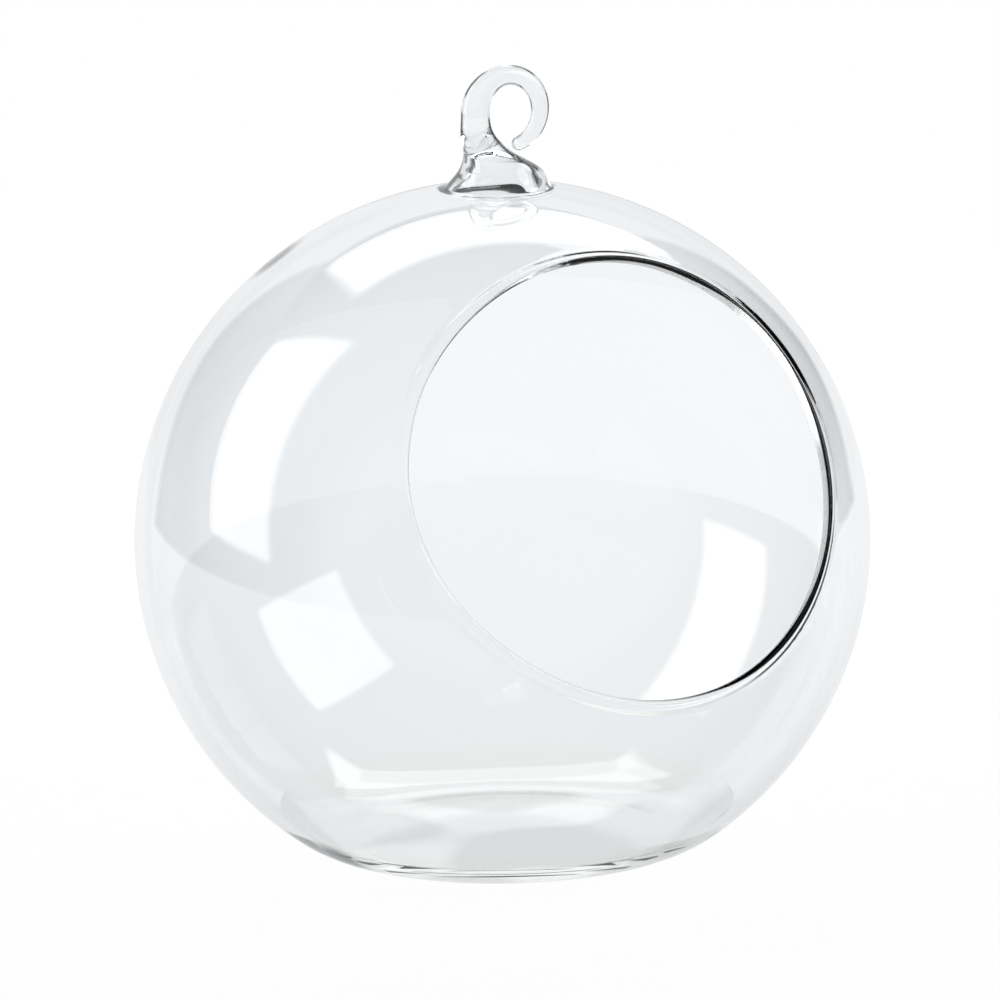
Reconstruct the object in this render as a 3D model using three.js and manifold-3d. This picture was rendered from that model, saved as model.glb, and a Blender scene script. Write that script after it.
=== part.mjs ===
// Glass globe terrarium: a blown glass globe that stands on a pressed foot, with one large round
// mouth that looks forwards and upwards, and a solid glass hanger fused on its crown.
// Millimetres, +Z up. The origin is the centre of the foot's underside, and the mouth faces -Y.

import * as THREE from 'three';
import { mergeVertices } from 'three/addons/utils/BufferGeometryUtils.js';
import Module from 'manifold-3d';

// Globe: its widest radius, and half the height it would have without the foot
const GLOBE_RADIUS = 60;
const GLOBE_HALF_HEIGHT = 58.9;
const WALL = 1.5;

// Foot: how far the bottom is pressed up, its rounded corner, its floor, and how far its wall
// rises past the corner to the seam
const FOOT_PRESS = 7.7;
const FOOT_CORNER_RADIUS = 20;
const FOOT_FLOOR = 2.2;
const FOOT_SEAM_RISE = 1.2;

// Mouth: its clear width inside the rim, and how far it looks up from level
const MOUTH_DIAMETER = 72.6;
const MOUTH_TILT = THREE.MathUtils.degToRad(22.4);

// Rim: a round bead with a short root of the wall's thickness behind it
const RIM_BEAD_DIAMETER = 2.2;
const RIM_ROOT = 1.8;
const RIM_SEAM_GAP = 0.3;

// Hanger boss: a flared cone of glass on the crown
const BOSS_BASE_RADIUS = 8.7;
const BOSS_TOP_RADIUS = 4.95;
const BOSS_HEIGHT = 4.5;
const BOSS_FLARE = 0.15;

// Hanger loop: the rod leaves the boss, leans to one side and bends round to an open loop
const LOOP_RADIUS = 5.85;
const LOOP_OFFSET = 2.3;
const LOOP_TIP_GAP = 0.95;
const LOOP_SWEEP = THREE.MathUtils.degToRad(252);
const ROD_ROOT_RADIUS = 2.3;
const ROD_RADIUS = 1.6;
const ROD_TIP_RADIUS = 1.1;

// How quickly the stem leaves the boss, and the shares of the loop over which the rod thins
const STEM_EASE = 3;
const ROOT_THINS_BY = 0.4;
const TIP_EASE = 4;

// Facets
const GLOBE_SEGMENTS = 64;
const GLOBE_ARC_STEPS = 26;
const CORNER_STEPS = 6;
const BEAD_STEPS = 10;
const BOSS_SEGMENTS = 32;
const BOSS_STEPS = 6;
const ROD_SIDES = 16;
const STEM_STEPS = 10;
const LOOP_STEPS = 34;
const TIP_STEPS = 4;

const GLASS_COLOUR = '#e9f0f1';
const GLASS_ROUGHNESS = 0.03;
const GLASS_OPACITY = 0.35;

// The globe is drawn round about its own centre, and its frame then lowers it to its real height
const squash = GLOBE_HALF_HEIGHT / GLOBE_RADIUS;
const centreHeight = GLOBE_HALF_HEIGHT - FOOT_PRESS;
const undersideDrop = centreHeight / squash;
const floorDrop = (centreHeight - FOOT_FLOOR) / squash;
const innerRadius = GLOBE_RADIUS - WALL;
const middleRadius = GLOBE_RADIUS - WALL / 2;

// The boss sits on a flat seat that is as wide as its base
const seatRise = Math.sqrt(GLOBE_RADIUS ** 2 - BOSS_BASE_RADIUS ** 2);
const seatHeight = centreHeight + seatRise * squash;
const bossTop = seatHeight + BOSS_HEIGHT;

// The rim's bead and the cut edge of the wall, as angles from the mouth's axis
const beadRadius = RIM_BEAD_DIAMETER / 2;
const beadAngle = Math.asin(MOUTH_DIAMETER / 2 / middleRadius) + beadRadius / middleRadius;
const cutAngle = beadAngle + (RIM_ROOT + RIM_SEAM_GAP) / middleRadius;

const wasm = await Module();
wasm.setup();

const part = new THREE.Group();

const globe = new THREE.Group();
globe.position.z = centreHeight;
globe.scale.z = squash;
part.add(globe);

// The mouth's own frame: its +Y looks out of the mouth
const mouth = new THREE.Group();
mouth.rotation.x = Math.PI - MOUTH_TILT;
mouth.updateMatrix();
globe.add(mouth);

function addPiece(parent, name, geometry) {
  const glass = new THREE.MeshStandardMaterial({
    name: `${name}_glass`,
    color: GLASS_COLOUR,
    roughness: GLASS_ROUGHNESS,
    metalness: 0,
    transparent: true,
    opacity: GLASS_OPACITY,
  });
  const mesh = new THREE.Mesh(geometry, glass);
  mesh.name = name;
  parent.add(mesh);
}

// A closed geometry with shared vertices and no collapsed triangles
function welded(geometry) {
  geometry.deleteAttribute('normal');
  geometry.deleteAttribute('uv');
  const merged = mergeVertices(geometry, 1e-5);
  const corners = merged.index.array;
  const kept = [];
  for (let i = 0; i < corners.length; i += 3) {
    const [a, b, c] = [corners[i], corners[i + 1], corners[i + 2]];
    if (a !== b && b !== c && c !== a) kept.push(a, b, c);
  }
  merged.setIndex(kept);
  merged.computeVertexNormals();
  return merged;
}

function toSolid(geometry) {
  const closed = welded(geometry);
  return new wasm.Manifold(new wasm.Mesh({
    numProp: 3,
    vertProperties: new Float32Array(closed.attributes.position.array),
    triVerts: new Uint32Array(closed.index.array),
  }));
}

function toGeometry(solid) {
  const mesh = solid.getMesh();
  const geometry = new THREE.BufferGeometry();
  geometry.setAttribute('position', new THREE.BufferAttribute(mesh.vertProperties, 3));
  geometry.setIndex(new THREE.BufferAttribute(mesh.triVerts, 1));
  geometry.computeVertexNormals();
  return geometry;
}

// A point of a profile at an angle up from level, about a centre given as radius and height
function arcPoint(centre, radius, angle) {
  return new THREE.Vector2(centre.x + radius * Math.cos(angle), centre.y + radius * Math.sin(angle));
}

function arc(centre, radius, from, to, steps) {
  const points = [];
  for (let i = 0; i <= steps; i++) {
    points.push(arcPoint(centre, radius, THREE.MathUtils.lerp(from, to, i / steps)));
  }
  return points;
}

// A body turned about the upright axis from a profile of radius and height
function turned(profile, segments) {
  return new THREE.LatheGeometry(profile, segments).rotateX(Math.PI / 2);
}

// The rounded corner between a flat and the round globe, touching both, for one face of the glass
function footCorner(roundRadius, cornerRadius, flatDrop) {
  const reach = roundRadius - cornerRadius;
  const drop = flatDrop - cornerRadius;
  return {
    centre: new THREE.Vector2(Math.sqrt(reach ** 2 - drop ** 2), -drop),
    radius: cornerRadius,
    tangent: -Math.asin(drop / reach),
  };
}

const origin = new THREE.Vector2(0, 0);
const outerCorner = footCorner(GLOBE_RADIUS, FOOT_CORNER_RADIUS, undersideDrop);
const innerCorner = footCorner(innerRadius, FOOT_CORNER_RADIUS - WALL, floorDrop);

// The level seam between the wall and the foot, just above both rounded corners
const seamLevel = FOOT_SEAM_RISE + Math.max(
  GLOBE_RADIUS * Math.sin(outerCorner.tangent),
  innerRadius * Math.sin(innerCorner.tangent),
);
const outerSeam = Math.asin(seamLevel / GLOBE_RADIUS);
const innerSeam = Math.asin(seamLevel / innerRadius);

// A cone from the globe's centre to well outside, so that the cut edge stands square to the wall
function mouthCutter() {
  const reach = 2 * GLOBE_RADIUS;
  const cone = new THREE.LatheGeometry([
    origin,
    new THREE.Vector2(reach * Math.sin(cutAngle), reach * Math.cos(cutAngle)),
    new THREE.Vector2(0, reach),
  ], GLOBE_SEGMENTS);
  return cone.applyMatrix4(mouth.matrix);
}

function globeWall() {
  const seatEdge = Math.acos(BOSS_BASE_RADIUS / GLOBE_RADIUS);
  const profile = [
    new THREE.Vector2(0, innerRadius),
    ...arc(origin, innerRadius, Math.PI / 2, innerSeam, GLOBE_ARC_STEPS).slice(1),
    ...arc(origin, GLOBE_RADIUS, outerSeam, seatEdge, GLOBE_ARC_STEPS),
    new THREE.Vector2(0, seatRise),
  ];
  const bubble = toSolid(turned(profile, GLOBE_SEGMENTS));
  return toGeometry(bubble.subtract(toSolid(mouthCutter())));
}

// A point of the rim's section: along the wall from the bead's centre, and out from mid-wall
function rimPoint(along, out) {
  const angle = beadAngle + along / middleRadius;
  const radius = middleRadius + out;
  return new THREE.Vector2(radius * Math.sin(angle), radius * Math.cos(angle));
}

function mouthRim() {
  const neck = Math.asin(WALL / 2 / beadRadius);
  const section = [rimPoint(RIM_ROOT, -WALL / 2), rimPoint(RIM_ROOT, WALL / 2)];
  for (let i = 0; i <= BEAD_STEPS; i++) {
    const angle = THREE.MathUtils.lerp(neck, 2 * Math.PI - neck, i / BEAD_STEPS);
    section.push(rimPoint(beadRadius * Math.cos(angle), beadRadius * Math.sin(angle)));
  }
  section.push(section[0].clone());
  return welded(new THREE.LatheGeometry(section, GLOBE_SEGMENTS));
}

function globeFoot() {
  const level = -Math.PI / 2;
  const profile = [
    new THREE.Vector2(0, -undersideDrop),
    ...arc(outerCorner.centre, outerCorner.radius, level, outerCorner.tangent, CORNER_STEPS),
    arcPoint(origin, GLOBE_RADIUS, outerSeam),
    arcPoint(origin, innerRadius, innerSeam),
    ...arc(innerCorner.centre, innerCorner.radius, innerCorner.tangent, level, CORNER_STEPS),
    new THREE.Vector2(0, -floorDrop),
  ];
  return welded(turned(profile, GLOBE_SEGMENTS));
}

function hangerBoss() {
  const profile = [new THREE.Vector2(0, seatHeight)];
  for (let i = 0; i <= BOSS_STEPS; i++) {
    const rise = i / BOSS_STEPS;
    const cone = THREE.MathUtils.lerp(BOSS_BASE_RADIUS, BOSS_TOP_RADIUS, rise);
    const hollow = BOSS_FLARE * Math.sin(Math.PI * rise);
    profile.push(new THREE.Vector2(cone - hollow, seatHeight + BOSS_HEIGHT * rise));
  }
  profile.push(new THREE.Vector2(0, bossTop));
  return welded(turned(profile, BOSS_SEGMENTS));
}

// The rod's sections from the boss to the tip: each is a circle in the plane of the direction
// towards the loop's centre and the direction across, and the rod runs forward through it
function rodSections() {
  const loopCentre = new THREE.Vector3(
    LOOP_OFFSET, 0, bossTop + LOOP_TIP_GAP + ROD_TIP_RADIUS + LOOP_RADIUS,
  );
  const sections = [];
  for (let i = 0; i < STEM_STEPS; i++) {
    const rise = i / STEM_STEPS;
    const settle = (1 - rise) ** STEM_EASE;
    sections.push({
      centre: new THREE.Vector3(
        (LOOP_OFFSET - LOOP_RADIUS) * (1 - settle),
        0,
        THREE.MathUtils.lerp(bossTop, loopCentre.z, rise),
      ),
      radius: THREE.MathUtils.lerp(ROD_ROOT_RADIUS, BOSS_TOP_RADIUS, settle),
      inward: new THREE.Vector3(1, 0, 0),
      forward: new THREE.Vector3(0, 0, 1),
    });
  }
  for (let i = 0; i <= LOOP_STEPS; i++) {
    const share = i / LOOP_STEPS;
    const angle = Math.PI - LOOP_SWEEP * share;
    const inward = new THREE.Vector3(-Math.cos(angle), 0, -Math.sin(angle));
    const thinned = THREE.MathUtils.smoothstep(share, 0, ROOT_THINS_BY);
    const rodRadius = THREE.MathUtils.lerp(ROD_ROOT_RADIUS, ROD_RADIUS, thinned);
    sections.push({
      centre: loopCentre.clone().addScaledVector(inward, -LOOP_RADIUS),
      radius: THREE.MathUtils.lerp(rodRadius, ROD_TIP_RADIUS, share ** TIP_EASE),
      inward,
      forward: new THREE.Vector3(Math.sin(angle), 0, -Math.cos(angle)),
    });
  }
  const end = sections[sections.length - 1];
  for (let i = 1; i <= TIP_STEPS; i++) {
    const angle = Math.PI / 2 * i / TIP_STEPS;
    sections.push({
      ...end,
      centre: end.centre.clone().addScaledVector(end.forward, end.radius * Math.sin(angle)),
      radius: end.radius * Math.cos(angle),
    });
  }
  return sections;
}

// A closed skin over the rod's sections, with a flat start and a rounded tip
function hangerLoop() {
  const sections = rodSections();
  const across = new THREE.Vector3(0, 1, 0);
  const tip = sections.pop().centre;
  const root = sections[0].centre;
  const positions = [];
  for (const section of sections) {
    for (let side = 0; side < ROD_SIDES; side++) {
      const angle = 2 * Math.PI * side / ROD_SIDES;
      const point = section.centre.clone()
        .addScaledVector(section.inward, section.radius * Math.cos(angle))
        .addScaledVector(across, section.radius * Math.sin(angle));
      positions.push(point.x, point.y, point.z);
    }
  }
  positions.push(root.x, root.y, root.z, tip.x, tip.y, tip.z);
  const rootPoint = sections.length * ROD_SIDES;
  const tipPoint = rootPoint + 1;
  const lastRing = sections.length - 1;
  const index = [];
  for (let side = 0; side < ROD_SIDES; side++) {
    const next = (side + 1) % ROD_SIDES;
    for (let ring = 0; ring < lastRing; ring++) {
      const a = ring * ROD_SIDES + side;
      const b = ring * ROD_SIDES + next;
      index.push(a, b, a + ROD_SIDES, b, b + ROD_SIDES, a + ROD_SIDES);
    }
    index.push(rootPoint, next, side);
    index.push(tipPoint, lastRing * ROD_SIDES + side, lastRing * ROD_SIDES + next);
  }
  const geometry = new THREE.BufferGeometry();
  geometry.setAttribute('position', new THREE.Float32BufferAttribute(positions, 3));
  geometry.setIndex(index);
  geometry.computeVertexNormals();
  return geometry;
}

addPiece(globe, 'globe_wall', globeWall());
addPiece(globe, 'globe_foot', globeFoot());
addPiece(mouth, 'mouth_rim', mouthRim());
addPiece(part, 'hanger_boss', hangerBoss());
addPiece(part, 'hanger_loop', hangerLoop());

export default part;
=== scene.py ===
"""Glass globe terrarium: the clear glass of the globe, its foot, its rim and its hanger, on a white table.

Metres, +Z up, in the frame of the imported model: the origin is the centre of the foot's underside,
and the mouth looks along -Y and upwards.
"""

import math
from typing import NamedTuple

import bmesh
import bpy
import numpy as np
from bpy.props import FloatProperty, FloatVectorProperty, IntProperty, PointerProperty
from mathutils import Matrix, Vector

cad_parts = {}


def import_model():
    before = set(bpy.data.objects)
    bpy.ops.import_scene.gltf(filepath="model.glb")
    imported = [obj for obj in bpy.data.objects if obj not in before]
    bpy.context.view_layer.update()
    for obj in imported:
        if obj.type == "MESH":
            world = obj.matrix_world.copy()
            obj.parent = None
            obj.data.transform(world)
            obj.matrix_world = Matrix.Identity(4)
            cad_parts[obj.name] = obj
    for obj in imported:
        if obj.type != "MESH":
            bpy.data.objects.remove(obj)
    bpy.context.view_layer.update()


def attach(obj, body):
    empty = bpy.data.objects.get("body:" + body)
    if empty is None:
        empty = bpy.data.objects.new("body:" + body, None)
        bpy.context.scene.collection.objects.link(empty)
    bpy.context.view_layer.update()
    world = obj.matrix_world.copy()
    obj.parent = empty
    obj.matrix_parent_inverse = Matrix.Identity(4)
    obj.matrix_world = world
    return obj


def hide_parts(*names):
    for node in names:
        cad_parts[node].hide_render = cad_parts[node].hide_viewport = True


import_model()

bl_info = {
    "name": "Glass Globe Terrarium",
    "version": (1, 0, 0),
    "blender": (4, 5, 0),
    "location": "3D View > Sidebar > Terrarium",
    "description": "Builds a blown glass globe with a side mouth, a pressed foot and a hanging loop",
    "category": "Object",
}

BODY = "root"
MILLIMETRE = 0.001


def length(name, description, default):
    """A size in metres, with a default given in millimetres."""
    return FloatProperty(name=name, description=description, default=default * MILLIMETRE,
                         min=0.0, precision=5, subtype="DISTANCE", unit="LENGTH")


def signed(name, description, default):
    """A place to either side, in metres, with a default given in millimetres."""
    return FloatProperty(name=name, description=description, default=default * MILLIMETRE,
                         precision=5, subtype="DISTANCE", unit="LENGTH")


def angle(name, description, default):
    """An angle in radians, with a default given in degrees."""
    return FloatProperty(name=name, description=description, default=math.radians(default),
                         subtype="ANGLE", unit="ROTATION")


def number(name, description, default):
    return FloatProperty(name=name, description=description, default=default, precision=4)


def colour(name, description, default):
    return FloatVectorProperty(name=name, description=description, default=default, size=3,
                               min=0.0, max=1.0, subtype="COLOR")


def count(name, description, default):
    return IntProperty(name=name, description=description, default=default, min=8)


class GlobeSizes(bpy.types.PropertyGroup):
    """The blown globe, its foot and its mouth"""

    radius: length("Radius", "Widest radius of the globe's outside", 60.0)
    half_height: length("Half height", "Half the height that the globe would have without its foot", 58.9)
    wall: length("Wall", "Thickness of the blown wall", 1.5)
    foot_press: length("Foot press", "How far the bottom is pressed up to make the foot", 7.7)
    foot_corner: length("Foot corner", "Radius of the rounded corner round the foot", 20.0)
    foot_floor: length("Foot floor", "Thickness of the floor of the foot", 2.2)
    foot_rise: length("Foot rise", "How far the foot's wall rises past its corner", 1.2)
    mouth_diameter: length("Mouth", "Clear width of the mouth inside its rim", 72.6)
    mouth_tilt: angle("Mouth tilt", "How far the mouth looks up from level", 22.4)
    bead: length("Rim bead", "Diameter of the bead round the mouth, where it is plain", 1.5)
    bead_blend: length("Bead blend", "How far from the bead's middle the rim is as thin as the wall", 2.2)
    rim_width: length("Rim width", "How far the rim's glass reaches from the bead's middle", 3.26)


class HangerSizes(bpy.types.PropertyGroup):
    """The neck on the crown, hollow underneath, and the rod that is drawn from it and bent to a loop"""

    base_radius: length("Neck base", "Radius of the neck where it leaves the globe", 8.7)
    base_side: signed("Base side", "How far the neck's base lies to the side", 0.3)
    base_fillet: length("Base fillet", "How far the neck runs out over the globe", 0.7)
    shoulder_height: length("Shoulder height", "Height of the neck's shoulder above its base", 3.0)
    shoulder_radius: length("Shoulder", "Radius of the neck at its shoulder", 6.6)
    shoulder_side: signed("Shoulder side", "How far the shoulder lies to the side", 0.65)
    boss_height: length("Rod start", "Height above the neck's base at which the rod starts", 4.5)
    waist_height: length("Waist height", "Height of the waist above the neck's base", 5.6)
    waist_radius: length("Waist", "Radius of the neck at its waist", 4.2)
    waist_side: signed("Waist side", "How far the waist lies to the side", -1.15)
    stem_height: length("Stem height", "Height at which the stem stands upright", 8.5)
    stem_radius: length("Stem", "Radius of the stem", 2.9)
    stem_side: signed("Stem side", "How far the stem lies to the side", -3.05)
    hollow_mouth: length("Hollow mouth", "Radius at which the globe's inside starts to rise to the neck", 9.2)
    hollow_bend: length("Hollow bend", "How far in the globe's inside runs on before it turns up", 2.8)
    hollow_round: length("Hollow round", "How wide the hollow's top is rounded", 4.0)
    hollow_height: length("Hollow height", "Height of the hollow's round top", 6.3)
    loop_radius: length("Loop radius", "Radius of the loop's bend, at the middle of the rod", 5.85)
    loop_offset: length("Loop offset", "How far the loop's centre lies to the side of the neck", 2.3)
    tip_gap: length("Tip gap", "Gap between the rod's tip and the level at which the rod starts", 0.95)
    loop_sweep: angle("Loop sweep", "How far round the rod bends", 252.0)
    root_rod: length("Rod at the root", "Radius of the rod where the bend starts", 2.35)
    rod: length("Rod", "Radius of the rod along the bend", 1.6)
    tip_rod: length("Rod at the tip", "Radius of the rod at its tip", 1.1)


class GlassLook(bpy.types.PropertyGroup):
    """The look of the glass"""

    tint: colour("Wall tint", "Colour of the light that the thin wall lets through", (0.988, 0.993, 0.996))
    hanger_tint: colour("Hanger tint", "Colour of the light through the neck and the rod",
                        (0.982, 0.99, 0.99))
    foot_tint: colour("Foot tint", "Colour of the light through the thick glass of the foot",
                      (0.975, 0.985, 0.962))
    index: number("Index", "Index of refraction of soda glass", 1.5)
    polish: number("Polish", "Roughness of the fire-polished skin", 0.004)
    ripple: length("Ripple", "Height of the slow waves that blowing leaves in the skin", 0.012)


class MeshDetail(bpy.types.PropertyGroup):
    """How finely the glass is meshed"""

    segments: count("Segments", "Points round the globe", 224)
    rings: count("Rings", "Rings from the foot to the crown", 120)
    sides: count("Sides", "Points round the hanger's rod", 96)


def current_settings():
    """The sizes of the globe and the hanger, the detail of the meshes and the look of the glass."""
    scene = bpy.context.scene
    return scene.terrarium_globe, scene.terrarium_hanger, scene.terrarium_detail, scene.terrarium_look


# Shape of the globe, worked out from its sizes

def squash(globe):
    return globe.half_height / globe.radius


def centre_height(globe):
    return globe.half_height - globe.foot_press


def inner_radius(globe):
    return globe.radius - globe.wall


def middle_radius(globe):
    return globe.radius - globe.wall / 2


def bead_angle(globe):
    """Angle from the mouth's axis to the middle of the rim's bead."""
    middle = middle_radius(globe)
    return math.asin(globe.mouth_diameter / 2 / middle) + globe.bead / 2 / middle


def mouth_frame(globe):
    """The mouth's axis and two directions across it, in the globe's round frame."""
    tilt = globe.mouth_tilt
    axis = np.array([0.0, -math.cos(tilt), math.sin(tilt)])
    across = np.array([1.0, 0.0, 0.0])
    upwards = np.array([0.0, math.sin(tilt), math.cos(tilt)])
    return axis, across, upwards


def cut_distance(globe):
    """How far from the globe's centre the plane lies in which the wall meets the rim."""
    middle = middle_radius(globe)
    return middle * math.cos(bead_angle(globe) + globe.rim_width / middle)


def full_turn(steps):
    """Angles that divide a full turn evenly."""
    return np.linspace(0, 2 * math.pi, steps, endpoint=False)


def level_circle(radius, height, turn, centre=(0.0, 0.0)):
    """Points of a level circle, at these turns about its centre."""
    return np.stack([centre[0] + radius * np.cos(turn), centre[1] + radius * np.sin(turn),
                     np.full(len(turn), height)], 1)


def arc(centre, radius, start, end, steps):
    """Points of a profile, as radius and height, at angles up from level."""
    turn = np.linspace(start, end, steps + 1)
    return np.stack([centre[0] + radius * np.cos(turn), centre[1] + radius * np.sin(turn)], 1)


def foot_corner(round_radius, corner_radius, flat_drop):
    """The rounded corner between a flat and the round globe: its centre and its upper angle."""
    reach = round_radius - corner_radius
    drop = flat_drop - corner_radius
    centre = (math.sqrt(reach ** 2 - drop ** 2), -drop)
    return centre, -math.asin(drop / reach)


def foot_shape(globe):
    """The two corners of the foot, and the level at which the wall meets the foot."""
    outer_drop = centre_height(globe) / squash(globe)
    inner_drop = (centre_height(globe) - globe.foot_floor) / squash(globe)
    outer = foot_corner(globe.radius, globe.foot_corner, outer_drop)
    inner = foot_corner(inner_radius(globe), globe.foot_corner - globe.wall, inner_drop)
    level = globe.foot_rise + max(globe.radius * math.sin(outer[1]), inner_radius(globe) * math.sin(inner[1]))
    return outer, inner, level


# The hand-made lobes of the mouth: how many, where the first one stands out, and how far in millimetres
RIM_LOBES = ((3, 57.0, 0.8),)
# How far from the rim they die out, in radians
RIM_LOBE_REACH = 0.35

# Nothing is divided by a length below this
NO_LENGTH = 1e-9


def rim_wobble(globe, points):
    """Moves points near the rim a little along the glass, as a hand-cut mouth is never quite round."""
    axis, across, upwards = mouth_frame(globe)
    radius = np.linalg.norm(points, axis=1)
    unit = points / radius[:, None]
    along = unit @ axis
    side = unit @ across
    rise = unit @ upwards
    polar = np.arccos(np.clip(along, -1, 1))
    turn = np.arctan2(rise, side)
    lobes = sum(height * np.cos(order * (turn - math.radians(place)))
                for order, place, height in RIM_LOBES)
    away = (polar - bead_angle(globe)) / RIM_LOBE_REACH
    moved = polar + lobes * MILLIMETRE * np.exp(-away ** 2) / globe.radius
    flat = np.stack([side, rise], 1)
    flat /= np.maximum(np.linalg.norm(flat, axis=1), NO_LENGTH)[:, None]
    turned = (np.cos(moved)[:, None] * axis
              + np.sin(moved)[:, None] * (flat[:, :1] * across + flat[:, 1:] * upwards))
    return turned * radius[:, None]


def place_globe(globe, points):
    """From the globe's round frame to the frame of the model."""
    worked = rim_wobble(globe, np.asarray(points, float))
    return worked * [1, 1, squash(globe)] + [0, 0, centre_height(globe)]


class Skin:
    """Points and faces of one piece of glass, as they are made."""

    def __init__(self):
        self.points = []
        self.faces = []

    def ring(self, points):
        first = len(self.points)
        self.points.extend(np.asarray(points, float).tolist())
        return list(range(first, len(self.points)))

    def join(self, ring, following):
        """Quads between two rings with as many points; they face outwards where the ring runs to the left."""
        total = len(ring)
        for i in range(total):
            j = (i + 1) % total
            self.faces.append((ring[i], ring[j], following[j], following[i]))

    def join_all(self, rings):
        for ring, following in zip(rings, rings[1:]):
            self.join(ring, following)

    def turned(self, profile, segments, place=np.asarray):
        """Joined rings of a body turned about the upright axis, one for each point of its profile."""
        turn = full_turn(segments)
        rings = [self.ring(place(level_circle(radius, height, turn))) for radius, height in profile]
        self.join_all(rings)
        return rings

    def bridge(self, ring, turns, following, following_turns):
        """Triangles between two rings with other numbers of points, each sorted by its turn in radians."""
        start = int(np.argmin(np.abs(np.asarray(following_turns) - turns[0])))
        i = j = 0
        total, other = len(ring), len(following)

        def ahead(values, k, first):
            lap, place = divmod(k, len(values))
            value = values[(place + first) % len(values)]
            wrapped = (place + first) // len(values)
            return value + 2 * math.pi * (lap + wrapped)

        while i < total or j < other:
            next_ring = ahead(turns, i + 1, 0)
            next_other = ahead(following_turns, j + 1, start)
            a = ring[i % total]
            b = following[(start + j) % other]
            if i < total and (j >= other or next_ring <= next_other):
                self.faces.append((a, ring[(i + 1) % total], b))
                i += 1
            else:
                self.faces.append((a, following[(start + j + 1) % other], b))
                j += 1

    def cap(self, ring, centre, flip=False):
        middle = self.ring([centre])[0]
        total = len(ring)
        for i in range(total):
            j = (i + 1) % total
            self.faces.append((ring[j], ring[i], middle) if flip else (ring[i], ring[j], middle))

    def mesh(self, name):
        made = bpy.data.meshes.new(name)
        made.from_pydata(self.points, [], self.faces)
        return made

    def piece(self, name, material, *nodes):
        mesh = self.mesh(name)
        mesh.validate()
        mesh.update()
        return add_piece(mesh, name, material, *nodes)


def add_piece(mesh, name, material, *nodes):
    """A piece of glass in the scene, in place of its CAD nodes."""
    mesh.shade_smooth()
    piece = bpy.data.objects.new(name, mesh)
    bpy.context.scene.collection.objects.link(piece)
    mesh.materials.append(material)
    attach(piece, BODY)
    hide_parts(*nodes)
    return piece


# Materials

class PaintedEdgeShade(NamedTuple):
    """The painted shade along the outline of a piece of glass, a dark line that stands in for the dark room
    seen through its edge.

    It starts and is full at these values, from 0 face on to 1 edge on. Its breaks have a size in metres,
    it has a strength between them, and it is always full at its painted dark streaks: each one's place and
    reach."""

    start: float
    full: float
    breaks: float
    strength: float
    painted_streaks: tuple = ()


# Painted shade along the outline of each piece, as broken dark lines in its colour
# The painted dark streaks: on the wall, a dark line high on the left that looks like a crease; on the foot,
# the dark streak at its left end, in two parts, and the small one at its right end
WALL_PAINTED_SHADE = PaintedEdgeShade(0.77, 0.83, 0.04, 0.14, (((-0.0316, 0.0170, 0.0982), 0.0068),))
FOOT_PAINTED_SHADE = PaintedEdgeShade(0.6, 0.72, 0.03, 0.4, (((-0.0372, -0.0029, 0.0060), 0.008),
                                        ((-0.0347, -0.0089, 0.0036), 0.007),
                                        ((0.0282, -0.0270, 0.0060), 0.0055)))
RIM_PAINTED_SHADE = PaintedEdgeShade(0.85, 0.95, 0.02, 0.2)
NECK_PAINTED_SHADE = PaintedEdgeShade(0.6, 0.7, 0.005, 1.0)
ROD_PAINTED_SHADE = PaintedEdgeShade(0.42, 0.55, 0.005, 1.0)

# The colour of the painted shade along the glass's outlines
PAINTED_SHADE_COLOUR = (0.02, 0.024, 0.026, 1.0)
WHITE = (1.0, 1.0, 1.0, 1.0)
# How solid the glass looks in the viewport's plain shading
VIEWPORT_ALPHA = 0.35
# The painted dark edge is broken where its noise is below the first of these, and full above the second
BROKEN, UNBROKEN = 0.4, 0.5
# Share of its reach over which a painted dark streak is full
STREAK_CORE = 0.4

# Size of the slow waves in the skin of each piece, in metres, and how high they are next to the wall's
WALL_WAVES, FOOT_WAVES, RIM_WAVES, NECK_WAVES, ROD_WAVES = 0.045, 0.02, 0.012, 0.006, 0.005
FOOT_RIPPLE, ROD_RIPPLE = 1.5, 0.7
WAVE_ROUGHNESS = 0.4

# The fine cords that drawing leaves along the rod: their height and number to the metre, and how much
# closer together they are across it than along it
CORD_HEIGHT = 0.000006
CORDS = 900.0
CORD_STRETCH = 0.12

# The film that varies the polish: its patches to the metre, and where its noise starts and ends to count
FILM = 60.0
FILM_STARTS, FILM_ENDS = 0.35, 0.75


def node(tree, kind, **inputs):
    """A shader node with some of its sockets set, each by its name, or by its number after a low line.

    A socket given as another node's output is linked to it."""
    made = tree.nodes.new(kind)
    for name, value in inputs.items():
        socket = made.inputs[int(name[1:])] if name[1:].isdigit() else made.inputs[name.replace("_", " ")]
        if isinstance(value, bpy.types.NodeSocket):
            tree.links.new(value, socket)
        else:
            socket.default_value = value
    return made


def calculate(tree, operation, *values):
    """The result of an operation on plain values or other nodes' outputs, repeated for more than two."""
    made = node(tree, "ShaderNodeMath", **{f"_{place}": value for place, value in enumerate(values[:2])})
    made.operation = operation
    further = values[2:]
    return calculate(tree, operation, made.outputs[0], *further) if further else made.outputs[0]


def from_vectors(tree, operation, first, second):
    """The one number that an operation gives for two vectors, such as their distance."""
    made = node(tree, "ShaderNodeVectorMath", _0=first, _1=second)
    made.operation = operation
    return made.outputs["Value"]


def ramp(tree, value, start, end):
    """0 below start, 1 above end, and smooth between them."""
    made = node(tree, "ShaderNodeMapRange", Value=value, From_Min=start, From_Max=end)
    made.interpolation_type = "SMOOTHSTEP"
    return made.outputs["Result"]


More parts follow.
